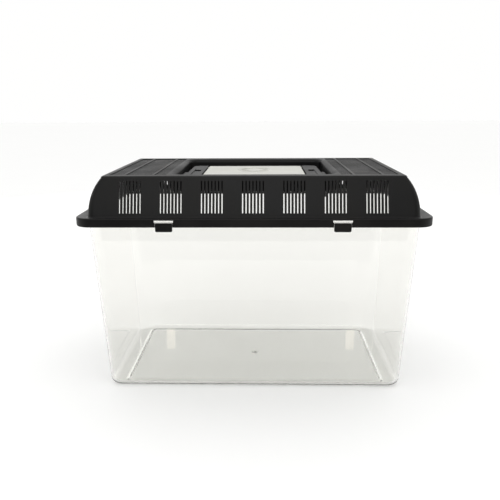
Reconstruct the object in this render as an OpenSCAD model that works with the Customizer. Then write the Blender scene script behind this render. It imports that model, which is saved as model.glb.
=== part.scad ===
// Ventilated carrying tank: clear tapered tub, domed black lid, hinged clear hatch and fold-flat handle.
// Millimetres. +X right, -Y front, +Z up. Origin under the middle of the tub.

/* [Overall] */
// Width over the lid rim
lid_w = 370; // [300:1:420]
// Depth over the lid rim
lid_d = 220; // [180:1:260]
// Height from the table to the lid top
total_h = 242; // [200:1:280]

/* [Tub] */
// Width over the wall at the floor
tub_w = 333; // [280:1:360]
// Depth over the wall at the floor
tub_d = 173; // [140:1:200]
// How far each side wall leans out, floor to lip
lean_x = 8.5; // [2:0.5:12]
// How far the front and back walls lean out, floor to lip
lean_y = 12; // [2:0.5:16]
// Wall thickness
tub_wall = 2.2; // [1.5:0.1:4]
// Floor thickness
tub_floor = 2.5; // [1.5:0.1:5]
// Radius of the upright corners
tub_corner = 15; // [6:1:25]
// Radius under the outside of the floor
foot_radius = 8; // [3:0.5:14]
// Underside of the lip
lip_z = 196; // [160:0.5:220]
// Lip thickness
lip_t = 2.5; // [1.5:0.1:4]
// Gap between the lip edge and the lid skirt
lip_gap = 1.4; // [0.5:0.1:2]
// Height of the raised middle of the floor
pad_h = 1.5; // [0.5:0.1:3]

/* [Lid] */
// Bottom edge of the skirt
skirt_z = 191.5; // [160:0.5:210]
// Height of the skirt
skirt_h = 9.3; // [6:0.1:14]
// Plan radius of the skirt corners
skirt_corner = 18; // [8:1:30]
// Lid wall thickness
lid_wall = 2.2; // [1.6:0.1:3]
// Ledge between dome and skirt at the sides
side_ledge = 14.3; // [8:0.1:24]
// Ledge between dome and skirt at front and back
front_ledge = 3.5; // [1:0.5:10]
// Set-back of the top edge from the skirt, front and back
top_inset = 16.1; // [12:0.1:40]
// Radius of the curved side walls
side_arc = 54; // [28:1:60]
// Radius of the dome's upright corners
dome_corner = 7; // [4:1:20]

/* [Vents] */
// Slit width
slit_w = 1.2; // [1:0.1:3]
// Slit pitch
slit_pitch = 3.5; // [2.5:0.1:5]
// Slits in each group
slits_each = 7; // [3:1:9]
// Groups across the front and the back
slit_groups = 7; // [3:2:9]
// Pitch of the groups
group_pitch = 42; // [30:0.5:60]
// Lower end of the wall slits
slit_low = 205; // [202:0.5:215]
// Upper end of the wall slits
slit_high = 237; // [225:0.5:238]
// Edges of the top panels, from the middle outwards
panel_edges = [[91, 102.8], [105.6, 132.8], [135.6, 150]];
// Length of the top panels, front to back
panel_len = 168; // [100:1:176]
// Depth of the panels below the ribs
panel_drop = 0.8; // [0:0.1:1.5]

/* [Recess and hatch frame] */
// Half width of the recess
well_x = 84.7; // [80:0.1:88]
// Half depth of the recess
well_y = 77; // [60:0.5:80]
// Corner radius of the recess
well_r = 10; // [6:0.5:16]
// Floor of the channel for the handle
channel_z = 226; // [222:0.5:230]
// Half width of the raised frame round the hatch
frame_x = 77; // [70:0.5:79]
// Half depth of the raised frame
frame_y = 51.5; // [45:0.5:54]
// Top of the raised frame
frame_z = 236.5; // [232:0.5:239]
// Rise of the low ribs on top of the frame
rib_h = 0.8; // [0.4:0.1:1.5]
// Width of those ribs
rib_w = 3.6; // [2:0.1:5]

/* [Hatch] */
// Half width of the hatch
hatch_x = 57.2; // [50:0.1:58]
// Thickness of the hatch at its edges
hatch_t = 2; // [1.5:0.1:2.5]
// Rise of the hatch in its middle
crown = 1; // [0:0.1:1.5]
// Front edge of the hatch, from the middle
hatch_front = 47.2; // [44:0.1:48]
// Hinge line, from the middle towards the back
hinge_y = 46; // [44:0.5:47]
// Radius of the hinge barrel
barrel_r = 2.5; // [2:0.1:3]
// Radius of the hinge pins
hinge_pin_r = 1.4; // [1:0.1:1.6]

/* [Handle] */
// Width of each arm
arm_w = 5.2; // [4:0.1:6]
// Thickness of the handle
handle_t = 7; // [5:0.1:8]
// Front to back width of the grip
grip_w = 10; // [8:0.5:11]
// Height of the pivots
pivot_z = 231; // [229:0.5:232]
// Radius of the pivot pins
pivot_r = 2.4; // [2:0.1:3]

/* [Snap tabs] */
// Distance of the tabs from the middle
tab_x = 91; // [60:1:120]
// Tab width
tab_w = 17.5; // [10:0.5:25]
// Lower end of the tabs
tab_low = 186.8; // [180:0.1:190]
// Window width above each tab
window_w = 20; // [14:0.5:26]

/* [Hidden] */
tub_x = tub_w / 2;
tub_y = tub_d / 2;
lid_x = lid_w / 2;
lid_y = lid_d / 2;
lip_top = lip_z + lip_t;
lip_x = lid_x - 2 - lip_gap;
lip_y = lid_y - 2 - lip_gap;
ledge_z = skirt_z + skirt_h;
dome_x = lid_x - side_ledge;
dome_y = lid_y - front_ledge;
arc_x = dome_x - side_arc;
arc_z = total_h - 38;
top_y = lid_y - top_inset;
rest = 0.3;
running = 0.06;
rebate_x = 59;
rebate_y = 48.6;
window_top = 199.1;
tab_top = lip_z;
axle_z = frame_z - barrel_r;
hatch_under = frame_z - hatch_t;
ledge_top = hatch_under - rest;
arm_in = frame_x + 1.2;
arm_out = arm_in + arm_w;
grip_out = frame_y + 12;
grip_in = grip_out - grip_w;
ring_r = 19.5;
$fn = 64;

// Piece to draw

// Four-way symmetric rounded rectangle, given by its half sizes.
module plate(x, y, r) {
    square([2 * x, 2 * (y - r)], center = true);
    square([2 * (x - r), 2 * y], center = true);
    for (sx = [-1, 1], sy = [-1, 1])
        translate([sx * (x - r), sy * (y - r)]) circle(r);
}

module slab(x, y, r, low, high) {
    translate([0, 0, low]) linear_extrude(high - low) plate(x, y, r);
}

// Upright profile with leaning sides and rounded lower corners.
module bucket(low, high, low_half, high_half, r) {
    slope = (high_half - low_half) / (high - low);
    half = atan(slope);
    span = low_half - r * tan(45 - half / 2);
    touch = [span + r * cos(half), low + r - r * sin(half)];
    polygon([[-span, low], [span, low], touch, [high_half, high], [-high_half, high], [-touch[0], touch[1]]]);
    for (s = [-1, 1]) translate([s * span, low + r]) circle(r);
}

// What a rounded leaning corner leaves of a square one. foot and head are the corner's two ends.
module corner_waste(foot, head, r) {
    run = head - foot;
    size = norm(run);
    turn = atan2(run[1], run[0]);
    translate(foot) rotate([0, acos(run[2] / size), turn]) rotate([0, 0, -turn]) translate([-r, -r, -20])
        linear_extrude(size + 40) difference() {
            square(r + 12);
            circle(r);
        }
}

module tub_body(inset, low, r_corner, r_foot, top) {
    kx = lean_x / lip_z;
    ky = lean_y / lip_z;
    low_x = tub_x - inset + kx * low;
    low_y = tub_y - inset + ky * low;
    high_x = tub_x - inset + kx * top;
    high_y = tub_y - inset + ky * top;
    difference() {
        intersection() {
            translate([0, 130, 0]) rotate([90, 0, 0]) linear_extrude(260)
                bucket(low, top, low_x, high_x, r_foot);
            translate([-200, 0, 0]) rotate([90, 0, 90]) linear_extrude(400)
                bucket(low, top, low_y, high_y, r_foot);
        }
        for (mx = [0, 1], my = [0, 1]) mirror([mx, 0, 0]) mirror([0, my, 0])
            corner_waste([low_x, low_y, low], [high_x, high_y, top], r_corner);
    }
}

module tank() {
    color([0.93, 0.95, 0.94, 0.3])
    difference() {
        union() {
            tub_body(0, 0, tub_corner, foot_radius, lip_z + 1);
            slab(lip_x, lip_y, 15, lip_z, lip_top);
        }
        difference() {
            tub_body(tub_wall, tub_floor, tub_corner - tub_wall, foot_radius - tub_wall, lip_top + 4);
            slab(tub_x - 17, tub_y - 9, 6, tub_floor - 1, tub_floor + pad_h);
        }
        slab(tub_x - 19, tub_y - 11, 5, -1, pad_h);
    }
}

// Front to back profile of the dome's curved sides.
module side_profile(inset, low) {
    high = total_h - inset;
    r = side_arc - inset;
    wide = dome_x - inset;
    translate([-wide, low]) square([2 * wide, arc_z - low]);
    translate([-arc_x, low]) square([2 * arc_x, high - low]);
    for (s = [-1, 1]) intersection() {
        translate([s * arc_x, arc_z]) circle(r, $fn = 128);
        translate([s > 0 ? arc_x : -wide, arc_z]) square([wide - arc_x, high - arc_z]);
    }
}

module dome(inset, low) {
    slope = (dome_y - top_y) / (total_h - ledge_z);
    shift = inset * sqrt(1 + slope * slope);
    foot = dome_y - shift + slope * (ledge_z - low);
    head = dome_y - shift - slope * (total_h - inset - ledge_z);
    difference() {
        intersection() {
            translate([0, 130, 0]) rotate([90, 0, 0]) linear_extrude(260) side_profile(inset, low);
            translate([-200, 0, 0]) rotate([90, 0, 90]) linear_extrude(400)
                polygon([[-foot, low], [foot, low], [head, total_h - inset], [-head, total_h - inset]]);
        }
        for (mx = [0, 1], my = [0, 1]) mirror([mx, 0, 0]) mirror([0, my, 0])
            corner_waste([dome_x - inset, foot, low], [dome_x - inset, head, total_h - inset], dome_corner - inset);
    }
}

module wall_slits() {
    for (g = [0 : slit_groups - 1], i = [0 : slits_each - 1])
        translate([(g - (slit_groups - 1) / 2) * group_pitch + (i - (slits_each - 1) / 2) * slit_pitch - slit_w / 2,
                   slit_low])
            square([slit_w, slit_high - slit_low]);
}

module top_slits() {
    rows = floor(panel_len / slit_pitch);
    for (s = [-1, 1], e = panel_edges, i = [0 : rows - 1])
        translate([s > 0 ? e[0] : -e[1], (i - (rows - 1) / 2) * slit_pitch - slit_w / 2])
            square([e[1] - e[0], slit_w]);
}

module lid_shell() {
    difference() {
        union() {
            slab(lid_x, lid_y, skirt_corner, skirt_z, ledge_z);
            dome(0, ledge_z - 1);
        }
        slab(lid_x - 2, lid_y - 2, skirt_corner - 2, skirt_z - 1, lip_top + rest);
        dome(lid_wall, lip_top + rest - 0.5);
    }
}

// Recess walls, channel floor and the raised frame that carries the hatch.
module recess_tray() {
    t = lid_wall;
    difference() {
        slab(well_x + t, well_y + t, well_r + t, channel_z - t, total_h - 0.5);
        slab(well_x, well_y, well_r, channel_z, total_h + 1);
        slab(frame_x - t, frame_y - t, 6, channel_z - t - 1, channel_z + 1);
    }
    difference() {
        slab(frame_x, frame_y, 8, channel_z - t, frame_z);
        slab(frame_x - t, frame_y - t, 6, channel_z - t - 1, frame_z - t);
        slab(rebate_x, rebate_y, 5, frame_z - t - 1, frame_z + 1);
    }
    difference() {
        slab(rebate_x + 2, rebate_y + 2, 6, ledge_top - t, ledge_top);
        slab(rebate_x - 6, rebate_y - 6, 4, ledge_top - t - 1, ledge_top + 1);
    }
    for (s = [-1, 1]) translate([s > 0 ? rebate_x : -rebate_x - 4, hinge_y - 4, axle_z - 3.5])
        cube([4, frame_y - 1 - hinge_y + 4, frame_z - 1 - axle_z + 3.5]);
    // Low ribs beside the pin wells, from just behind them to the front of the frame.
    for (s = [-1, 1]) translate([s > 0 ? 70.7 : -70.7 - rib_w, 6 - frame_y, frame_z - 1])
        cube([rib_w, frame_y + 4, 1 + rib_h]);
}

module lid() {
    color([0.13, 0.13, 0.13])
    difference() {
        union() {
            difference() {
                lid_shell();
                slab(well_x, well_y, well_r, 210, total_h + 1);
            }
            recess_tray();
        }
        for (s = [-1, 1]) translate([0, s * (lid_y + 5), 0]) rotate([90, 0, 0])
            translate([0, 0, s > 0 ? 0 : -33]) linear_extrude(33) wall_slits();
        translate([0, 0, total_h - 6]) linear_extrude(12) top_slits();
        for (s = [-1, 1], e = panel_edges)
            translate([s > 0 ? e[0] : -e[1], -panel_len / 2, total_h - panel_drop])
                cube([e[1] - e[0], panel_len, 2]);
        for (sx = [-1, 1], sy = [-1, 1]) {
            translate([sx * tab_x - window_w / 2, sy * (lid_y - 1) - 2, tab_top + rest])
                cube([window_w, 4, window_top - tab_top - rest]);
            translate([sx * tab_x - tab_w / 2 - rest, sy * (lid_y - 1) - 2, skirt_z - 1])
                cube([tab_w + 2 * rest, 4, tab_top + 2 * rest - skirt_z + 1]);
        }
        // Slot behind the hinge barrel, and a low back wall that the open hatch passes over.
        translate([-rebate_x, hinge_y - 3, channel_z - 1]) cube([2 * rebate_x, frame_y - lid_wall - hinge_y + 3, 20]);
        translate([-rebate_x, frame_y - lid_wall - 1, axle_z - 0.8]) cube([2 * rebate_x, lid_wall + 2, 6]);
        // Notch for the finger lip of the hatch.
        translate([-13, -frame_y - 1, hatch_under - 0.8]) cube([26, frame_y - rebate_y + 2, 6]);
        // Wells over the ends of the handle's pins.
        for (s = [-1, 1]) translate([s * 67, 0, frame_z - 4]) linear_extrude(6) plate(3.5, 7, 1.5);
        // Bores for the hinge pins and the handle's pins.
        for (s = [-1, 1]) {
            translate([s * (rebate_x - 0.5), hinge_y, axle_z]) rotate([0, s * 90, 0])
                cylinder(r = hinge_pin_r + running, h = 3.7);
            translate([s * (frame_x - 5), 0, pivot_z]) rotate([0, s * 90, 0])
                cylinder(r = pivot_r + running, h = 6);
        }
    }
}

// Cross-section of the hatch leaf, a little higher in its middle.
module crown_profile() {
    polygon([[-hatch_x - 1, hatch_under - 1], [hatch_x + 1, hatch_under - 1],
             for (i = [12 : -1 : -12]) [i / 12 * (hatch_x + 1), frame_z + crown * (1 - i * i / 144)]]);
}

module hatch() {
    color([0.85, 0.86, 0.84, 0.7]) {
        difference() {
            union() {
                intersection() {
                    translate([0, (hinge_y - 3 - hatch_front) / 2, hatch_under])
                        linear_extrude(hatch_t + crown)
                            plate(hatch_x, (hatch_front + hinge_y - 3) / 2, 5);
                    translate([0, 60, 0]) rotate([90, 0, 0]) linear_extrude(120) crown_profile();
                }
                translate([-hatch_x, hinge_y - 10, hatch_under]) cube([2 * hatch_x, 10, hatch_t]);
                translate([-hatch_x, hinge_y, axle_z]) rotate([0, 90, 0]) cylinder(r = barrel_r, h = 2 * hatch_x);
                for (s = [-1, 1]) translate([s * (hatch_x - 1), hinge_y, axle_z]) rotate([0, s * 90, 0])
                    cylinder(r = hinge_pin_r, h = 5);
                translate([-12, -frame_y - 1.1, hatch_under + 0.3]) cube([24, frame_y - hatch_front + 6, hatch_t - 0.3]);
                translate([0, 0, frame_z]) cylinder(r = ring_r, h = crown + 0.4);
            }
            translate([0, 0, frame_z + crown - 0.3]) cylinder(r = ring_r - 1.6, h = 2);
        }
        translate([0, 0, frame_z]) cylinder(r = 5, h = crown + 0.2);
    }
}

module handle() {
    color([0.1, 0.1, 0.1]) {
        translate([0, 0, pivot_z - handle_t / 2]) linear_extrude(handle_t) difference() {
            plate(arm_out, grip_out, 13);
            plate(arm_in, grip_in, 8);
            translate([-100, 0]) square([200, 100]);
        }
        for (s = [-1, 1]) {
            translate([s * arm_in, 0, pivot_z]) rotate([0, s * 90, 0]) cylinder(r = handle_t / 2, h = arm_w);
            translate([s * (arm_in + 1), 0, pivot_z]) rotate([0, -s * 90, 0]) cylinder(r = pivot_r, h = 14);
        }
    }
}

// Finger tab on the skirt with a bead inside that reaches under the lip. side is -1 in front and 1 behind.
module tab(x, side) {
    color([0.12, 0.12, 0.12])
    translate([x, side * (lid_y - 1), 0]) {
        translate([-tab_w / 2, -1, tab_low + 2]) cube([tab_w, 2, tab_top - tab_low - 2]);
        translate([0, 1, tab_low + 2]) rotate([90, 0, 0]) linear_extrude(2) difference() {
            plate(tab_w / 2, 2, 1.5);
            translate([-20, 0.5]) square([40, 5]);
        }
        translate([-tab_w / 2 + 1, side > 0 ? -2.1 : 0.5, 191.6]) cube([tab_w - 2, 1.6, 2.6]);
    }
}

module tab_front_left() tab(-tab_x, -1);
module tab_front_right() tab(tab_x, -1);
module tab_back_left() tab(-tab_x, 1);
module tab_back_right() tab(tab_x, 1);

tank();
lid();
hatch();
handle();
tab_front_left();
tab_front_right();
tab_back_left();
tab_back_right();
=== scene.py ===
import math

import bmesh
import bpy
from mathutils import Matrix, Vector


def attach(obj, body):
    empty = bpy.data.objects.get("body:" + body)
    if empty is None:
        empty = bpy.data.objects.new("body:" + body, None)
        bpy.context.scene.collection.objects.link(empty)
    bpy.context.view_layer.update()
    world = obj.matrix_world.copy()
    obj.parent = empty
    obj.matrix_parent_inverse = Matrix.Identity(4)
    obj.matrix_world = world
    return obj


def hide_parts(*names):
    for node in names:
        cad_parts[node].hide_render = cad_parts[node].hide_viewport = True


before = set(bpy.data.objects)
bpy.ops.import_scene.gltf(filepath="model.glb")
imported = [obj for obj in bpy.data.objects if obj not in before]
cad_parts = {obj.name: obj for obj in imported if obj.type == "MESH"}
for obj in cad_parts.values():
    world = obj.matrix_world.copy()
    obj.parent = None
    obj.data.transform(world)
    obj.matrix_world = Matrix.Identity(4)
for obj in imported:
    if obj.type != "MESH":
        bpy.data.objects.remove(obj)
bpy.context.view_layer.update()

mm = 0.001
pi = math.pi


# ---- shared mesh helpers ----
# A level is (half width, half depth, corner radius, height), all in millimetres.
def levelPoints(level, steps=8):
    halfX, halfY, corner, z = level
    points = []
    for signX, signY, start in ((1, 1, 0), (-1, 1, 90), (-1, -1, 180), (1, -1, 270)):
        for i in range(steps + 1):
            a = math.radians(start + 90 * i / steps)
            x = (halfX - corner) * signX + corner * math.cos(a)
            y = (halfY - corner) * signY + corner * math.sin(a)
            points.append((x * mm, y * mm, z * mm))
    return points


def quarterTurn(first, last, upFirst, steps=4):
    # levels on a quarter ellipse between two levels, without the first
    levels = []
    for i in range(1, steps + 1):
        a = pi / 2 * i / steps
        plan, rise = (1 - math.cos(a), math.sin(a)) if upFirst else (math.sin(a), 1 - math.cos(a))
        spread = [p + (q - p) * plan for p, q in zip(first[:3], last[:3])]
        levels.append((*spread, first[3] + (last[3] - first[3]) * rise))
    return levels


def softStep(first, last, steps=6):
    # an even S between two levels, without the first
    levels = []
    for i in range(1, steps + 1):
        share = i / steps
        rise = share * share * (3 - 2 * share)
        spread = [p + (q - p) * share for p, q in zip(first[:3], last[:3])]
        levels.append((*spread, first[3] + (last[3] - first[3]) * rise))
    return levels


def addPiece(name, bm, material):
    mesh = bpy.data.meshes.new(name)
    bm.normal_update()
    bm.to_mesh(mesh)
    bm.free()
    piece = bpy.data.objects.new(name, mesh)
    bpy.context.scene.collection.objects.link(piece)
    if material:
        mesh.materials.append(material)
    return piece


def loftPiece(name, levels, material, ring=False, steps=8):
    # ring joins the last level to the first; otherwise both ends are capped
    bm = bmesh.new()
    rows = [[bm.verts.new(p) for p in levelPoints(level, steps)] for level in levels]
    pairs = list(zip(rows, rows[1:])) + ([(rows[-1], rows[0])] if ring else [])
    for low, high in pairs:
        for i in range(len(low)):
            j = (i + 1) % len(low)
            bm.faces.new((low[i], low[j], high[j], high[i]))
    if not ring:
        bm.faces.new(list(reversed(rows[0])))
        bm.faces.new(rows[-1])
    bmesh.ops.remove_doubles(bm, verts=bm.verts, dist=1e-6)
    bmesh.ops.recalc_face_normals(bm, faces=bm.faces)
    return addPiece(name, bm, material)


def latheBody(bm, profile, axis, middle, turns=32):
    # profile is (distance along axis, radius) from end to end; both ends close on the axis
    side = Vector((0, 0, 1)) if abs(axis.z) < 0.5 else Vector((1, 0, 0))
    other = axis.cross(side)
    rows = []
    for along, radius in profile:
        centre = Vector(middle) + axis * along
        if radius < 1e-6:
            rows.append([bm.verts.new(centre * mm)])
            continue
        row = []
        for i in range(turns):
            a = 2 * pi * i / turns
            row.append(bm.verts.new((centre + (side * math.cos(a) + other * math.sin(a)) * radius) * mm))
        rows.append(row)
    for low, high in zip(rows, rows[1:]):
        for i in range(turns):
            j = (i + 1) % turns
            corners = [low[i % len(low)], low[j % len(low)], high[j % len(high)], high[i % len(high)]]
            bm.faces.new(list(dict.fromkeys(corners)))


def boxBody(bm, low, high):
    made = bmesh.ops.create_cube(bm, size=1)["verts"]
    for v in made:
        v.co = Vector([(a + (b - a) * (c + 0.5)) * mm for a, b, c in zip(low, high, v.co)])


def combine(piece, other, operation):
    tool = piece.modifiers.new(operation.lower(), "BOOLEAN")
    tool.operation = operation
    tool.solver = "EXACT"
    tool.object = other
    makePlain(piece)
    bpy.data.objects.remove(other)


def makePlain(piece):
    graph = bpy.context.evaluated_depsgraph_get()
    graph.update()
    mesh = bpy.data.meshes.new_from_object(piece.evaluated_get(graph))
    piece.modifiers.clear()
    old = piece.data
    piece.data = mesh
    mesh.name = piece.name
    bpy.data.meshes.remove(old)


def softenEdges(piece, width, segments=2, angle=32):
    bevel = piece.modifiers.new("edges", "BEVEL")
    bevel.width = width * mm
    bevel.segments = segments
    bevel.limit_method = "ANGLE"
    bevel.angle_limit = math.radians(angle)
    bevel.harden_normals = False
    makePlain(piece)


def shadeEvenly(piece):
    piece.data.polygons.foreach_set("use_smooth", [True] * len(piece.data.polygons))
    weigh = piece.modifiers.new("even shading", "WEIGHTED_NORMAL")
    weigh.keep_sharp = True
    makePlain(piece)


# ---- materials ----
def newMaterial(name):
    material = bpy.data.materials.new(name)
    material.use_nodes = True
    nodes = material.node_tree.nodes
    nodes.clear()
    out = nodes.new("ShaderNodeOutputMaterial")
    return material, nodes, material.node_tree.links, out


def objectNoise(nodes, links, scale, detail, rough=0.5, stretch=(1, 1, 1)):
    place = nodes.new("ShaderNodeTexCoord")
    turn = nodes.new("ShaderNodeMapping")
    turn.inputs["Scale"].default_value = stretch
    noise = nodes.new("ShaderNodeTexNoise")
    noise.inputs["Scale"].default_value = scale
    noise.inputs["Detail"].default_value = detail
    noise.inputs["Roughness"].default_value = rough
    links.new(place.outputs["Object"], turn.inputs["Vector"])
    links.new(turn.outputs["Vector"], noise.inputs["Vector"])
    return noise.outputs["Fac"]


def mapRange(nodes, links, value, low, high, toLow, toHigh):
    span = nodes.new("ShaderNodeMapRange")
    span.inputs["From Min"].default_value = low
    span.inputs["From Max"].default_value = high
    span.inputs["To Min"].default_value = toLow
    span.inputs["To Max"].default_value = toHigh
    links.new(value, span.inputs["Value"])
    return span.outputs["Result"]


def mixColour(nodes, links, share, first, second):
    mix = nodes.new("ShaderNodeMix")
    mix.data_type = "RGBA"
    mix.inputs[6].default_value = first
    mix.inputs[7].default_value = second
    links.new(share, mix.inputs[0])
    return mix.outputs[2]


def addBump(nodes, links, value, strength, distance, under=None):
    bump = nodes.new("ShaderNodeBump")
    bump.inputs["Strength"].default_value = strength
    bump.inputs["Distance"].default_value = distance
    links.new(value, bump.inputs["Height"])
    if under:
        links.new(under, bump.inputs["Normal"])
    return bump.outputs["Normal"]


def blackPlastic(name, look):
    material, nodes, links, out = newMaterial(name)
    skin = nodes.new("ShaderNodeBsdfPrincipled")
    cloud = objectNoise(nodes, links, look["cloudScale"], 3)
    grain = objectNoise(nodes, links, look["grainScale"], 2, 0.6)
    dust = objectNoise(nodes, links, look["dustScale"], 8, 0.75)
    share = mapRange(nodes, links, cloud, 0.35, 0.65, 0, 1)
    tone = mixColour(nodes, links, share, look["dark"], look["light"])
    speck = nodes.new("ShaderNodeMix")
    speck.data_type = "RGBA"
    links.new(mapRange(nodes, links, dust, 0.62, 0.8, 0, look["dustShare"]), speck.inputs[0])
    links.new(tone, speck.inputs[6])
    speck.inputs[7].default_value = look["dust"]
    links.new(speck.outputs[2], skin.inputs["Base Color"])
    gloss = mapRange(nodes, links, cloud, 0.3, 0.7, *look["gloss"])
    links.new(gloss, skin.inputs["Roughness"])
    skin.inputs["Specular IOR Level"].default_value = look["shine"]
    wave = addBump(nodes, links, cloud, 0.25, 0.0006)
    scratch = objectNoise(nodes, links, 90, 3, 0.6, (1, 22, 6))
    scored = mapRange(nodes, links, scratch, 0.62, 0.7, 0, 1)
    wave = addBump(nodes, links, scored, look["scratch"], 0.00008, wave)
    links.new(addBump(nodes, links, grain, look["grain"], 0.00012, wave), skin.inputs["Normal"])
    skin.inputs["IOR"].default_value = 1.5
    links.new(skin.outputs[0], out.inputs["Surface"])
    return material


def clearPlastic(name, look):
    material, nodes, links, out = newMaterial(name)
    glass = nodes.new("ShaderNodeBsdfPrincipled")
    glass.inputs["Base Color"].default_value = look["tint"]
    glass.inputs["Transmission Weight"].default_value = 1
    glass.inputs["IOR"].default_value = look["ior"]
    flow = objectNoise(nodes, links, look["flowScale"], 2, 0.5, (1, 1, 0.35))
    haze = objectNoise(nodes, links, look["hazeScale"], 6, 0.7)
    gloss = mapRange(nodes, links, haze, 0.35, 0.75, *look["gloss"])
    links.new(gloss, glass.inputs["Roughness"])
    links.new(addBump(nodes, links, flow, look["flow"], 0.001), glass.inputs["Normal"])
    open_ = nodes.new("ShaderNodeBsdfTransparent")
    open_.inputs["Color"].default_value = look["shadow"]
    path = nodes.new("ShaderNodeLightPath")
    mix = nodes.new("ShaderNodeMixShader")
    links.new(path.outputs["Is Shadow Ray"], mix.inputs[0])
    links.new(glass.outputs[0], mix.inputs[1])
    links.new(open_.outputs[0], mix.inputs[2])
    links.new(mix.outputs[0], out.inputs["Surface"])
    return material


def frostedPlastic(name, look):
    material, nodes, links, out = newMaterial(name)
    skin = nodes.new("ShaderNodeBsdfPrincipled")
    cloud = objectNoise(nodes, links, look["cloudScale"], 3)
    grain = objectNoise(nodes, links, look["grainScale"], 2, 0.6)
    tone = mixColour(nodes, links, mapRange(nodes, links, cloud, 0.3, 0.7, 0, 1), look["pale"], look["warm"])
    links.new(tone, skin.inputs["Base Color"])
    gloss = mapRange(nodes, links, grain, 0.3, 0.7, *look["gloss"])
    links.new(gloss, skin.inputs["Roughness"])
    skin.inputs["Transmission Weight"].default_value = look["clear"]
    skin.inputs["IOR"].default_value = 1.5
    links.new(addBump(nodes, links, grain, look["grain"], 0.0002), skin.inputs["Normal"])
    links.new(skin.outputs[0], out.inputs["Surface"])
    return material


lidLook = {
    "dark": (0.0045, 0.0045, 0.0046, 1),
    "light": (0.0085, 0.0082, 0.0076, 1),
    "dust": (0.06, 0.057, 0.05, 1),
    "dustShare": 0.3,
    "shine": 0.17,
    "scratch": 0.12,
    "gloss": (0.36, 0.5),
    "cloudScale": 22,
    "grainScale": 2600,
    "dustScale": 320,
    "grain": 0.35,
}
handleLook = dict(lidLook, gloss=(0.34, 0.46), grainScale=3400, grain=0.2, dustShare=0.2)
tubLook = {
    "tint": (0.944, 0.942, 0.926, 1),
    "shadow": (0.965, 0.97, 0.96, 1),
    "ior": 1.45,
    "gloss": (0.01, 0.04),
    "flowScale": 14,
    "flow": 0.03,
    "hazeScale": 60,
}
hatchLook = {
    "pale": (0.72, 0.72, 0.665, 1),
    "warm": (0.66, 0.655, 0.595, 1),
    "clear": 0.25,
    "gloss": (0.35, 0.5),
    "cloudScale": 30,
    "grainScale": 1800,
    "grain": 0.3,
}
lidPlastic = blackPlastic("lid satin black", lidLook)
handlePlastic = blackPlastic("handle satin black", handleLook)
tubPlastic = clearPlastic("clear tub", tubLook)
hatchPlastic = frostedPlastic("frosted hatch", hatchLook)
print("materials made")

# ---- tub ----
tub = {
    "halfX": 166.5,  # outside, at the floor
    "halfY": 86.5,
    "leanX": 8.5,  # outward lean from floor to lip
    "leanY": 12,
    "wall": 2.2,
    "floor": 2.5,
    "corner": 15,
    "foot": 8,
    "lipZ": 196,
    "lipTop": 198.5,
    "lipX": 181.6,
    "lipY": 106.6,
    "padX": 149.5,  # raised middle of the floor
    "padY": 77.5,
    "padRise": 1.5,
}


def wallLevel(z, inset, corner):
    share = z / tub["lipZ"]
    halfX = tub["halfX"] + tub["leanX"] * share - inset
    halfY = tub["halfY"] + tub["leanY"] * share - inset
    return (halfX, halfY, corner, z)


def grown(level, by, z=None):
    return (level[0] + by, level[1] + by, max(level[2] + by, 0.4), level[3] if z is None else z)


def makeTub():
    t, foot, rise = tub["wall"], tub["foot"], tub["padRise"]
    pad = (tub["padX"] - 6, tub["padY"] - 6, 5)
    lip = (tub["lipX"], tub["lipY"], 15)
    inFoot = foot - t
    levels = [(*pad, rise)]
    levels += softStep(levels[-1], (*[p + 4.5 for p in pad], 0))
    levels.append(grown(wallLevel(0, 0, tub["corner"]), -foot))
    levels += quarterTurn(levels[-1], wallLevel(foot, 0, tub["corner"]), False, 6)
    levels.append(wallLevel(tub["lipZ"] - 1.2, 0, tub["corner"]))
    levels += quarterTurn(levels[-1], grown(wallLevel(tub["lipZ"], 0, tub["corner"]), 1.2), True, 3)
    levels.append((*[v - 0.8 for v in lip], tub["lipZ"]))
    levels += quarterTurn(levels[-1], (*lip, tub["lipZ"] + 0.8), False, 3)
    levels.append((*lip, tub["lipTop"] - 0.8))
    levels += quarterTurn(levels[-1], (*[v - 0.8 for v in lip], tub["lipTop"]), True, 3)
    mouth = wallLevel(tub["lipTop"] - 1, t, tub["corner"] - t)
    levels.append(grown(mouth, 1, tub["lipTop"]))
    levels += quarterTurn(levels[-1], mouth, False, 3)
    levels.append(wallLevel(tub["floor"] + inFoot, t, tub["corner"] - t))
    levels += quarterTurn(levels[-1], grown(wallLevel(tub["floor"], t, tub["corner"] - t), -inFoot), True, 6)
    inner = (tub["padX"], tub["padY"], 6)
    levels.append((*[v + 0.8 for v in inner], tub["floor"]))
    levels += softStep(levels[-1], (*[v - 4.2 for v in inner], tub["floor"] + rise))
    piece = loftPiece("tub_shell", levels, tubPlastic, steps=16)
    shadeEvenly(piece)
    return piece


tubShell = makeTub()
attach(tubShell, "tub")
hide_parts("tank")


def makeGateMark():
    # the moulding's sprue stub in the middle of the floor
    bm = bmesh.new()
    z = tub["floor"] + tub["padRise"]
    profile = [(-0.3, 0), (-0.3, 4.4), (0.1, 4.2), (0.18, 3.7),
               (0.04, 3.2), (0.04, 1.8), (0.4, 1.3), (0.45, 0)]
    latheBody(bm, profile, Vector((0, 0, 1)), (0, 0, z), 28)
    bmesh.ops.recalc_face_normals(bm, faces=bm.faces)
    piece = addPiece("tub_gate_mark", bm, tubPlastic)
    shadeEvenly(piece)
    return piece


gateMark = makeGateMark()
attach(gateMark, "tub")
print("tub made")

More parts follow.
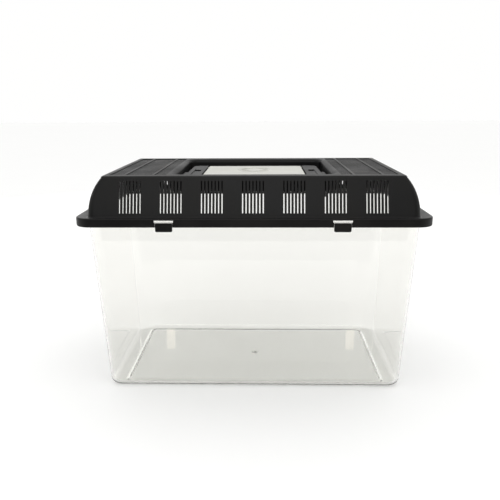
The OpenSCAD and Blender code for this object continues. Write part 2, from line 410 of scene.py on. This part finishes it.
# ---- lid ----
lid = {
    "halfX": 185,
    "halfY": 110,
    "corner": 18,
    "skirtZ": 191.5,
    "ledgeZ": 200.8,
    "top": 242,
    "domeX": 170.7,
    "domeY": 106.5,
    "domeCorner": 8,
    "topCorner": 4,
    "topY": 93.9,
    "sideArc": 54,
    "arcZ": 204,
    "wall": 2.2,
}
recess = {"x": 84.7, "y": 77, "corner": 10, "rim": 4.6, "floorZ": 226}
hatchFrame = {"x": 77, "y": 51.5, "top": 236.5, "rebateX": 59, "rebateY": 48.6, "ledge": 234.2, "open": 6}
frameRib = {"x": 70.7, "width": 3.6, "front": -45.5, "back": 10, "rise": 0.8}
vents = {
    "slit": 1.2,
    "pitch": 3.5,
    "each": 7,
    "groups": 7,
    "groupPitch": 42,
    "low": 205,
    "high": 237,
    "panels": ((91, 102.8), (105.6, 132.8), (135.6, 150)),
    "panelLength": 168,
    "panelDrop": 0.8,
    "endMargin": 0.6,
    "cutDepth": 28,  # wall cutters, clear of the recess
    "cutMiddle": 97,
}
hinge = {"y": 46, "z": 234, "barrel": 2.5, "pin": 1.4}
pivot = {"z": 231, "pin": 2.4}
running = 0.06  # gap round a pin in its bore
pinWell = {"x": 67, "halfX": 3.5, "halfY": 7, "depth": 4}
fingerNotch = 13  # half width of the notch for the hatch's lip
tabs = {"x": 91, "width": 17.5, "low": 186.8, "top": 196, "window": 20, "windowTop": 199.1, "gap": 0.3}


def domeLevel(z, inset=0):
    slope = (lid["domeY"] - lid["topY"]) / (lid["top"] - lid["ledgeZ"])
    rise = max(z - lid["arcZ"], 0)
    radius = lid["sideArc"] - inset
    halfX = lid["domeX"] - lid["sideArc"] + math.sqrt(radius * radius - rise * rise)
    halfY = lid["domeY"] - slope * (z - lid["ledgeZ"]) - inset * math.sqrt(1 + slope * slope)
    share = rise / (lid["top"] - lid["arcZ"])
    return (halfX, halfY, lid["domeCorner"] + (lid["topCorner"] - lid["domeCorner"]) * share - inset * 0.5, z)


def outerLidLevels():
    skirt = (lid["halfX"], lid["halfY"], lid["corner"], lid["skirtZ"])
    levels = [grown(skirt, -0.5), grown(skirt, 0, lid["skirtZ"] + 1)]
    levels.append(grown(skirt, 0, lid["ledgeZ"] - 1.5))
    levels += quarterTurn(levels[-1], grown(skirt, -1.5, lid["ledgeZ"]), True)
    foot = domeLevel(lid["ledgeZ"] + 1.8)
    levels.append(grown(foot, 1.6, lid["ledgeZ"]))
    levels += quarterTurn(levels[-1], foot, False)
    levels += [domeLevel(z) for z in (204.5, 208, 212, 216, 220, 224, 228, 232, 235.5, 238, 239.8)]
    edge = levels[-1]
    levels += quarterTurn(edge, grown(edge, -2.6, lid["top"]), True)
    rim = (recess["x"], recess["y"], recess["corner"], lid["top"] - recess["rim"])
    levels.append(grown(rim, recess["rim"], lid["top"]))
    levels += quarterTurn(levels[-1], rim, False, 6)
    levels.append(grown(rim, 0, recess["floorZ"] + 1))
    levels += quarterTurn(levels[-1], grown(rim, -1, recess["floorZ"]), True, 3)
    block = (hatchFrame["x"], hatchFrame["y"], 8, hatchFrame["top"])
    levels.append(grown(block, 1, recess["floorZ"]))
    levels += quarterTurn(levels[-1], grown(block, 0, recess["floorZ"] + 1), False, 3)
    levels.append(grown(block, 0, hatchFrame["top"] - 0.9))
    levels += quarterTurn(levels[-1], grown(block, -0.9), True, 3)
    rebate = (hatchFrame["rebateX"], hatchFrame["rebateY"], 5, hatchFrame["ledge"])
    levels.append(grown(rebate, 0.5, hatchFrame["top"]))
    levels += quarterTurn(levels[-1], grown(rebate, 0, hatchFrame["top"] - 0.5), False, 2)
    levels += [rebate, grown(rebate, -hatchFrame["open"])]
    return levels


def innerLidLevels():
    # the underside, from the hatch opening back out to the skirt
    t = lid["wall"]
    rebate = (hatchFrame["rebateX"], hatchFrame["rebateY"], 5, hatchFrame["ledge"] - t)
    levels = [grown(rebate, -hatchFrame["open"]), (61, 49, 5, rebate[3]), (61, 49, 5, hatchFrame["top"] - t)]
    block = (hatchFrame["x"] - t, hatchFrame["y"] - t, 6, hatchFrame["top"] - t)
    levels += [block, grown(block, 0, recess["floorZ"] - t)]
    tray = (recess["x"] + t, recess["y"] + t, recess["corner"] + t, recess["floorZ"] - t)
    levels += [tray, grown(tray, 0, lid["top"] - t)]
    levels += [domeLevel(z, t) for z in (239.8, 236, 232, 228, 222, 214, 200)]
    skirt = (lid["halfX"] - 2, lid["halfY"] - 2, lid["corner"] - 2, lid["ledgeZ"] - 2)
    levels += [grown(levels[-1], 0, skirt[3]), skirt, grown(skirt, 0, lid["skirtZ"])]
    return levels


# Rows of slits: a slit repeated at one pitch, and that group repeated at another.
def slitTree():
    tree = bpy.data.node_groups.new("slit rows", "GeometryNodeTree")
    face = tree.interface
    face.new_socket("Geometry", in_out="INPUT", socket_type="NodeSocketGeometry")
    for label, kind in (("Slits", "Int"), ("Slit Pitch", "Vector"), ("Groups", "Int"),
                        ("Group Pitch", "Vector"), ("Slit Size", "Vector"), ("Middle", "Vector"),
                        ("Material", "Material")):
        face.new_socket(label, in_out="INPUT", socket_type="NodeSocket" + kind)
    face.new_socket("Geometry", in_out="OUTPUT", socket_type="NodeSocketGeometry")
    nodes, links = tree.nodes, tree.links
    given = nodes.new("NodeGroupInput")
    out = nodes.new("NodeGroupOutput")

    def centredLine(count, pitch, middle):
        less = nodes.new("ShaderNodeMath")
        less.operation = "MULTIPLY_ADD"
        links.new(count, less.inputs[0])
        less.inputs[1].default_value = -0.5
        less.inputs[2].default_value = 0.5
        back = nodes.new("ShaderNodeVectorMath")
        back.operation = "SCALE"
        links.new(pitch, back.inputs[0])
        links.new(less.outputs[0], back.inputs["Scale"])
        start = back.outputs[0]
        if middle:
            add = nodes.new("ShaderNodeVectorMath")
            links.new(start, add.inputs[0])
            links.new(middle, add.inputs[1])
            start = add.outputs[0]
        line = nodes.new("GeometryNodeMeshLine")
        links.new(count, line.inputs["Count"])
        links.new(start, line.inputs["Start Location"])
        links.new(pitch, line.inputs["Offset"])
        return line.outputs["Mesh"]

    def repeated(points, shape):
        place = nodes.new("GeometryNodeInstanceOnPoints")
        real = nodes.new("GeometryNodeRealizeInstances")
        links.new(points, place.inputs["Points"])
        links.new(shape, place.inputs["Instance"])
        links.new(place.outputs[0], real.inputs[0])
        return real.outputs[0]

    cube = nodes.new("GeometryNodeMeshCube")
    links.new(given.outputs["Slit Size"], cube.inputs["Size"])
    slitLine = centredLine(given.outputs["Slits"], given.outputs["Slit Pitch"], None)
    group = repeated(slitLine, cube.outputs["Mesh"])
    groupLine = centredLine(given.outputs["Groups"], given.outputs["Group Pitch"], given.outputs["Middle"])
    rows = repeated(groupLine, group)
    paint = nodes.new("GeometryNodeSetMaterial")
    links.new(rows, paint.inputs["Geometry"])
    links.new(given.outputs["Material"], paint.inputs["Material"])
    links.new(paint.outputs[0], out.inputs[0])
    return tree


def runTree(name, tree, values, material):
    piece = addPiece(name, bmesh.new(), None)
    step = piece.modifiers.new(tree.name, "NODES")
    step.node_group = tree
    for socket in tree.interface.items_tree:
        if socket.in_out == "INPUT" and socket.name in values:
            step[socket.identifier] = values[socket.name]
        elif socket.in_out == "INPUT" and socket.name == "Material":
            step[socket.identifier] = material
    makePlain(piece)
    return piece


def slitRows(name, slits, slitPitch, groups, groupPitch, size, middle):
    def inMetres(v):
        return [c * mm for c in v]

    return runTree(name, rowTree, {"Slits": slits, "Slit Pitch": inMetres(slitPitch), "Groups": groups,
                                   "Group Pitch": inMetres(groupPitch), "Slit Size": inMetres(size),
                                   "Middle": inMetres(middle)}, lidPlastic)


rowTree = slitTree()


def makeLid():
    shell = loftPiece("lid_shell", outerLidLevels() + innerLidLevels(), lidPlastic, ring=True)
    bosses = bmesh.new()
    for s in (-1, 1):
        ends = sorted((s * (hatchFrame["rebateX"] - 0.01), s * (hatchFrame["rebateX"] + 4)))
        boxBody(bosses, (ends[0], hinge["y"] - 4, hinge["z"] - 3.5),
                (ends[1], hatchFrame["y"] - 1, hatchFrame["top"] - 0.6))
        ends = sorted((s * frameRib["x"], s * (frameRib["x"] + frameRib["width"])))
        boxBody(bosses, (ends[0], frameRib["front"], hatchFrame["top"] - 1),
                (ends[1], frameRib["back"], hatchFrame["top"] + frameRib["rise"]))
    combine(shell, addPiece("bosses", bosses, lidPlastic), "UNION")

    # windows, notches, panel pockets, wells and the space round the hinge
    cuts = bmesh.new()
    for sx in (-1, 1):
        for sy in (-1, 1):
            ySpan = sorted((sy * (lid["halfY"] - 5), sy * (lid["halfY"] + 2)))
            x = sx * tabs["x"]
            half, gap = tabs["window"] / 2, tabs["gap"]
            boxBody(cuts, (x - half, ySpan[0], tabs["top"] + gap), (x + half, ySpan[1], tabs["windowTop"]))
        for near, far in vents["panels"]:
            ends = sorted((sx * near, sx * far))
            boxBody(cuts, (ends[0], -vents["panelLength"] / 2, lid["top"] - vents["panelDrop"]),
                    (ends[1], vents["panelLength"] / 2, lid["top"] + 2))
        x, across, along = sx * pinWell["x"], pinWell["halfX"], pinWell["halfY"]
        boxBody(cuts, (x - across, -along, hatchFrame["top"] - pinWell["depth"]),
                (x + across, along, hatchFrame["top"] + 2))
    wide = hatchFrame["rebateX"]
    boxBody(cuts, (-wide, hinge["y"] - 3, 225), (wide, hatchFrame["y"] - lid["wall"], 250))
    combine(shell, addPiece("cuts", cuts, lidPlastic), "DIFFERENCE")
    cuts = bmesh.new()
    for sx in (-1, 1):
        for sy in (-1, 1):
            ySpan = sorted((sy * (lid["halfY"] - 5), sy * (lid["halfY"] + 2)))
            half = tabs["width"] / 2 + tabs["gap"]
            x = sx * tabs["x"]
            boxBody(cuts, (x - half, ySpan[0], lid["skirtZ"] - 3), (x + half, ySpan[1], tabs["top"] + 1))
    boxBody(cuts, (-wide, hatchFrame["y"] - lid["wall"] - 1, hinge["z"] - 0.8),
            (wide, hatchFrame["y"] + 1, 250))
    boxBody(cuts, (-fingerNotch, -hatchFrame["y"] - 1, hatchFrame["ledge"] - 0.5),
            (fingerNotch, -hatchFrame["rebateY"] + 1, 250))
    combine(shell, addPiece("cuts", cuts, lidPlastic), "DIFFERENCE")
    bores = bmesh.new()
    for s in (-1, 1):
        axis = Vector((s, 0, 0))
        bore = hinge["pin"] + running
        latheBody(bores, [(-1, 0), (-1, bore), (3.2, bore), (3.2, 0)],
                  axis, (s * hatchFrame["rebateX"], hinge["y"], hinge["z"]), 24)
        bore = pivot["pin"] + running
        latheBody(bores, [(-5, 0), (-5, bore), (2, bore), (2, 0)],
                  axis, (s * hatchFrame["x"], 0, pivot["z"]), 24)
    bmesh.ops.recalc_face_normals(bores, faces=bores.faces)
    combine(shell, addPiece("bores", bores, lidPlastic), "DIFFERENCE")

    v = vents
    tall, midZ = v["high"] - v["low"], (v["high"] + v["low"]) / 2
    for sy in (-1, 1):
        rows = slitRows("slits", v["each"], (v["pitch"], 0, 0), v["groups"], (v["groupPitch"], 0, 0),
                        (v["slit"], v["cutDepth"], tall), (0, sy * v["cutMiddle"], midZ))
        combine(shell, rows, "DIFFERENCE")
    count = int(v["panelLength"] / v["pitch"])
    for near, far in v["panels"]:
        middle, across = (near + far) / 2, far - near - 2 * v["endMargin"]
        rows = slitRows("slits", count, (0, v["pitch"], 0), 2, (2 * middle, 0, 0), (across, v["slit"], 9),
                        (0, 0, lid["top"] - 1))
        combine(shell, rows, "DIFFERENCE")
    softenEdges(shell, 0.28)
    shadeEvenly(shell)
    return shell


lidShell = makeLid()
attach(lidShell, "lid")
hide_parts("lid")
print("lid made, faces:", len(lidShell.data.polygons))

# ---- hatch ----
hatch = {
    "halfX": 57.2,
    "front": 47.2,
    "thick": 2,
    "crown": 1,
    "lip": 12,
    "ring": 19.5,
    "ribs": 24,
}


def makeHatch():
    top, under = hatchFrame["top"], hatchFrame["top"] - hatch["thick"]
    back = hinge["y"] - 3
    halfY, midY = (hatch["front"] + back) / 2, (back - hatch["front"]) / 2
    edge = (hatch["halfX"], halfY, 5, under + 0.5)
    levels = [(3, 3 * halfY / edge[0], 1, under)]
    levels += [(edge[0] * k, halfY * k, 5 * k + 0.5, under) for k in (0.2, 0.4, 0.6, 0.8)]
    levels.append(grown(edge, -0.5, under))
    levels += quarterTurn(levels[-1], edge, False, 3)
    levels.append(grown(edge, 0, top - 0.6))
    levels += quarterTurn(levels[-1], grown(edge, -0.6, top), True, 3)
    shares = [0.9, 0.8, 0.7, 0.6, 0.5, 0.4, 0.3, 0.2, 0.1]
    levels += [(edge[0] * k, halfY * k, 5 * k + 0.5, top) for k in shares]
    leaf = loftPiece("hatch_leaf", levels, hatchPlastic)
    for v in leaf.data.vertices:
        side = min(abs(v.co.x) / (hatch["halfX"] * mm), 1)
        lift = hatch["crown"] if v.co.z > (under + 1) * mm else hatch["crown"] * 0.6
        v.co.z += lift * mm * (1 - side * side)
        v.co.y += midY * mm
    extra = bmesh.new()
    r, x = hinge["barrel"], hatch["halfX"]
    latheBody(extra, [(-x, 0), (-x, r - 0.4), (-x + 0.4, r), (x - 0.4, r), (x, r - 0.4), (x, 0)],
              Vector((1, 0, 0)), (0, hinge["y"], hinge["z"]), 36)
    bmesh.ops.recalc_face_normals(extra, faces=extra.faces)
    combine(leaf, addPiece("barrel", extra, hatchPlastic), "UNION")
    extra = bmesh.new()
    boxBody(extra, (-x + 0.2, hinge["y"] - 6, under + 0.1), (x - 0.2, hinge["y"], top - 0.02))
    combine(leaf, addPiece("neck", extra, hatchPlastic), "UNION")
    extra = bmesh.new()
    for s in (-1, 1):
        latheBody(extra, [(-1, 0), (-1, hinge["pin"]), (3.6, hinge["pin"]), (4, hinge["pin"] - 0.4), (4, 0)],
                  Vector((s, 0, 0)), (s * x, hinge["y"], hinge["z"]), 24)
    bmesh.ops.recalc_face_normals(extra, faces=extra.faces)
    combine(leaf, addPiece("pins", extra, hatchPlastic), "UNION")
    extra = bmesh.new()
    boxBody(extra, (-hatch["lip"], -hatchFrame["y"] - 1.1, under + 0.3),
            (hatch["lip"], -hatch["front"] + 4, top))
    combine(leaf, addPiece("finger lip", extra, hatchPlastic), "UNION")
    softenEdges(leaf, 0.25)
    shadeEvenly(leaf)
    return leaf


def ribTree():
    # short ribs standing in a circle, each turned to face the middle
    tree = bpy.data.node_groups.new("rib circle", "GeometryNodeTree")
    face = tree.interface
    face.new_socket("Geometry", in_out="INPUT", socket_type="NodeSocketGeometry")
    for label, kind in (("Ribs", "Int"), ("Radius", "Float"), ("Rib Size", "Vector"), ("Height", "Float"),
                        ("Material", "Material")):
        face.new_socket(label, in_out="INPUT", socket_type="NodeSocket" + kind)
    face.new_socket("Geometry", in_out="OUTPUT", socket_type="NodeSocketGeometry")
    nodes, links = tree.nodes, tree.links
    given, out = nodes.new("NodeGroupInput"), nodes.new("NodeGroupOutput")
    circle = nodes.new("GeometryNodeMeshCircle")
    links.new(given.outputs["Ribs"], circle.inputs["Vertices"])
    links.new(given.outputs["Radius"], circle.inputs["Radius"])
    cube = nodes.new("GeometryNodeMeshCube")
    links.new(given.outputs["Rib Size"], cube.inputs["Size"])
    where = nodes.new("GeometryNodeInputPosition")
    turn = nodes.new("FunctionNodeAlignRotationToVector")
    turn.axis = "X"
    links.new(where.outputs[0], turn.inputs["Vector"])
    place = nodes.new("GeometryNodeInstanceOnPoints")
    links.new(circle.outputs["Mesh"], place.inputs["Points"])
    links.new(cube.outputs["Mesh"], place.inputs["Instance"])
    links.new(turn.outputs[0], place.inputs["Rotation"])
    real = nodes.new("GeometryNodeRealizeInstances")
    links.new(place.outputs[0], real.inputs[0])
    lift = nodes.new("ShaderNodeCombineXYZ")
    links.new(given.outputs["Height"], lift.inputs["Z"])
    move = nodes.new("GeometryNodeTransform")
    links.new(real.outputs[0], move.inputs["Geometry"])
    links.new(lift.outputs[0], move.inputs["Translation"])
    paint = nodes.new("GeometryNodeSetMaterial")
    links.new(move.outputs[0], paint.inputs["Geometry"])
    links.new(given.outputs["Material"], paint.inputs["Material"])
    links.new(paint.outputs[0], out.inputs[0])
    return tree


hatchLeaf = makeHatch()
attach(hatchLeaf, "hatch")
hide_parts("hatch")


def makeHatchRing():
    # plain raised ring and a circle of short ribs in the middle of the hatch
    z, r = hatchFrame["top"] + hatch["crown"] * 0.85, hatch["ring"]
    bm = bmesh.new()
    turns = 64
    section = [(r - 1.6, -0.4), (r - 1.45, 0.3), (r - 1.2, 0.45), (r - 0.4, 0.45), (r - 0.15, 0.3), (r, -0.4)]
    rows = []
    for p, h in section:
        around = [2 * pi * i / turns for i in range(turns)]
        points = [(p * math.cos(a) * mm, p * math.sin(a) * mm, (z + h) * mm) for a in around]
        rows.append([bm.verts.new(point) for point in points])
    for low, high in zip(rows, rows[1:] + rows[:1]):
        for i in range(turns):
            j = (i + 1) % turns
            bm.faces.new((low[i], low[j], high[j], high[i]))
    bmesh.ops.recalc_face_normals(bm, faces=bm.faces)
    ring = addPiece("hatch_ring", bm, hatchPlastic)
    shadeEvenly(ring)
    ribs = runTree("hatch_ribs", ribTree(), {"Ribs": hatch["ribs"], "Radius": 13 * mm,
                                             "Rib Size": (5 * mm, 0.9 * mm, 0.8 * mm),
                                             "Height": (z + 0.1) * mm}, hatchPlastic)
    softenEdges(ribs, 0.15)
    shadeEvenly(ribs)
    return ring, ribs


for part in makeHatchRing():
    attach(part, "hatch")
print("hatch made")

# ---- handle ----
handle = {
    "armIn": 78.2,
    "armOut": 83.4,
    "gripIn": 53.5,
    "gripOut": 63.5,
    "thick": 7,
    "bend": 13,
    "round": 1.6,
}


def makeHandle():
    half = handle["thick"] / 2
    armMid, armHalf = (handle["armIn"] + handle["armOut"]) / 2, (handle["armOut"] - handle["armIn"]) / 2
    gripMid, gripHalf = (handle["gripIn"] + handle["gripOut"]) / 2, (handle["gripOut"] - handle["gripIn"]) / 2
    bend = handle["bend"] - armHalf
    stations = []  # x, y, direction in degrees, half width, half thickness
    for i in range(7):
        a = pi / 2 * (1 - i / 6)
        stations.append((armMid, -half * math.sin(a), 90, armHalf, max(half * math.cos(a), 0.05)))
    stations.append((armMid, 20, 90, armHalf, half))
    stations.append((armMid, gripMid - bend, 90, armHalf, half))
    for i in range(1, 9):
        a = pi / 2 * i / 8
        grow = armHalf + (gripHalf - armHalf) * (0.5 - 0.5 * math.cos(a * 2))
        x, y = armMid - bend + bend * math.cos(a), gripMid - bend + bend * math.sin(a)
        stations.append((x, y, 90 + 90 * i / 8, grow, half))
    stations.append((45, gripMid, 180, gripHalf, half))
    stations += [(-x, y, 360 - d, w, h) for x, y, d, w, h in reversed(stations)]
    bm = bmesh.new()
    rows = []
    for x, y, d, w, h in stations:
        across = Vector((math.sin(math.radians(d)), -math.cos(math.radians(d)), 0))
        corner = min(handle["round"], w * 0.9, h * 0.9)
        row = []
        for sx, sz, start in ((1, 1, 0), (-1, 1, 90), (-1, -1, 180), (1, -1, 270)):
            for i in range(5):
                a = math.radians(start + 90 * i / 4)
                u, v = (w - corner) * sx + corner * math.cos(a), (h - corner) * sz + corner * math.sin(a)
                row.append(bm.verts.new((Vector((x, y, pivot["z"])) + across * u + Vector((0, 0, v))) * mm))
        rows.append(row)
    for low, high in zip(rows, rows[1:]):
        for i in range(len(low)):
            j = (i + 1) % len(low)
            bm.faces.new((low[i], low[j], high[j], high[i]))
    bm.faces.new(rows[0])
    bm.faces.new(rows[-1])
    for v in bm.verts:
        v.co.y = -v.co.y  # the bow lies folded to the front
    bmesh.ops.remove_doubles(bm, verts=bm.verts, dist=1e-6)
    bmesh.ops.recalc_face_normals(bm, faces=bm.faces)
    bow = addPiece("handle_bow", bm, handlePlastic)
    pins = bmesh.new()
    for s in (-1, 1):
        latheBody(pins, [(0, 0), (0, pivot["pin"]), (12.6, pivot["pin"]), (13, pivot["pin"] - 0.4), (13, 0)],
                  Vector((-s, 0, 0)), (s * (handle["armIn"] + 1), 0, pivot["z"]), 28)
    bmesh.ops.recalc_face_normals(pins, faces=pins.faces)
    combine(bow, addPiece("pins", pins, handlePlastic), "UNION")
    shadeEvenly(bow)
    return bow


handleBow = makeHandle()
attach(handleBow, "handle")
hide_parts("handle")
print("handle made")


# ---- snap tabs ----
def makeTab(name, x, side):
    w = tabs["width"] / 2
    y = side * (lid["halfY"] - 1)
    bm = bmesh.new()
    boxBody(bm, (x - w, y - 1, tabs["low"]), (x + w, y + 1, tabs["top"]))
    corners = [e for e in bm.edges if all(v.co.z < (tabs["low"] + 0.1) * mm for v in e.verts)
               and abs(e.verts[0].co.y - e.verts[1].co.y) > 0.5 * mm]
    bmesh.ops.bevel(bm, geom=corners, offset=1.5 * mm, segments=4, affect="EDGES", profile=0.5)
    piece = addPiece(name + "_skin", bm, lidPlastic)
    bead = bmesh.new()
    inner = y - side * 1.0
    ySpan = sorted((inner + side * 0.5, inner - side * 1.1))
    boxBody(bead, (x - w + 1, ySpan[0], 191.6), (x + w - 1, ySpan[1], 194.2))
    combine(piece, addPiece("bead", bead, lidPlastic), "UNION")
    softenEdges(piece, 0.35, 3)
    shadeEvenly(piece)
    return piece


for nameY, side in (("front", -1), ("back", 1)):
    for nameX, signX in (("left", -1), ("right", 1)):
        name = f"tab_{nameY}_{nameX}"
        tab = makeTab(name, signX * tabs["x"], side)
        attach(tab, name)
        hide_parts(name)
print("tabs made")

# ---- floor, light and camera ----
studio = {
    "floor": (0.94, 0.94, 0.935, 1),
    "sky": (1, 1, 0.995, 1),
    "zenith": 1.3,
    "horizon": 0.7,
    "room": 0.28,  # share of that light left on the camera's side
    "front": 8.5,
    "sides": 1.4,
    "windows": 0.006,
    "floorFront": -0.55,
    "cameraPlace": (0.011, -0.657, 0.314),
    "cameraAngles": (14.92, 1.47, -0.32),  # down, to the left, tilt
    "lens": 39.82,
}


def paleFloor():
    material, nodes, links, out = newMaterial("pale floor")
    skin = nodes.new("ShaderNodeBsdfPrincipled")
    cloud = objectNoise(nodes, links, 3, 3)
    pale = studio["floor"]
    tone = mixColour(nodes, links, cloud, pale, [c * 0.985 for c in pale[:3]] + [1])
    links.new(tone, skin.inputs["Base Color"])
    skin.inputs["Roughness"].default_value = 0.8
    skin.inputs["Specular IOR Level"].default_value = 0.2
    links.new(skin.outputs[0], out.inputs["Surface"])
    bm = bmesh.new()
    bmesh.ops.create_grid(bm, x_segments=2, y_segments=2, size=9)
    for v in bm.verts:
        v.co.y = max(v.co.y, studio["floorFront"])
    floor = addPiece("studio_floor", bm, material)
    floor.location.z = -0.0002


def softLight(name, place, target, size, energy, colour=(1, 1, 1)):
    data = bpy.data.lights.new(name, "AREA")
    data.shape = "RECTANGLE"
    data.size, data.size_y = size
    data.energy = energy
    data.color = colour
    light = bpy.data.objects.new(name, data)
    light.location = place
    light.rotation_euler = (Vector(target) - Vector(place)).to_track_quat("-Z", "Y").to_euler()
    light.visible_camera = False
    bpy.context.scene.collection.objects.link(light)


def paleSky():
    # white behind, beside and above; dimmer on the camera's side
    world = bpy.data.worlds.new("studio")
    world.use_nodes = True
    nodes, links = world.node_tree.nodes, world.node_tree.links
    back = nodes["Background"]
    where = nodes.new("ShaderNodeTexCoord")
    parts = nodes.new("ShaderNodeSeparateXYZ")
    links.new(where.outputs["Generated"], parts.inputs[0])
    rise = mapRange(nodes, links, parts.outputs["Z"], 0, 0.75, studio["horizon"], studio["zenith"])
    room = mapRange(nodes, links, parts.outputs["Y"], -0.9, -0.2, studio["room"], 1)
    glow = nodes.new("ShaderNodeMath")
    glow.operation = "MULTIPLY"
    links.new(rise, glow.inputs[0])
    links.new(room, glow.inputs[1])
    path = nodes.new("ShaderNodeLightPath")
    seen = nodes.new("ShaderNodeMix")
    links.new(path.outputs["Is Camera Ray"], seen.inputs[0])
    links.new(glow.outputs[0], seen.inputs[2])
    seen.inputs[3].default_value = 1
    back.inputs["Color"].default_value = studio["sky"]
    links.new(seen.outputs[0], back.inputs["Strength"])
    bpy.context.scene.world = world


paleFloor()
paleSky()
softLight("front", (-0.1, -1.5, 1.15), (0, -0.1, 0), (1.3, 0.7), studio["front"])
for s in (-1, 1):
    softLight("side", (s * 0.8, 1.2, 0.32), (0, 0, 0.12), (0.35, 0.6), studio["sides"])
    softLight("window", (s * 0.28, 0.95, 0.4), (s * 0.12, 0.03, 0), (0.026, 0.08),
              studio["windows"], (1, 0.9, 0.78))
bpy.context.scene.view_settings.view_transform = "Standard"

cameraData = bpy.data.cameras.new("camera")
cameraData.lens = studio["lens"]
cameraData.sensor_width = 36
camera = bpy.data.objects.new("camera", cameraData)
camera.location = studio["cameraPlace"]
down, left, tilt = [math.radians(a) for a in studio["cameraAngles"]]
turn = Matrix.Rotation(left, 3, "Z") @ Matrix.Rotation(pi / 2 - down, 3, "X") @ Matrix.Rotation(tilt, 3, "Z")
camera.rotation_euler = turn.to_euler()
bpy.context.scene.collection.objects.link(camera)
bpy.context.scene.camera = camera
print("studio made")
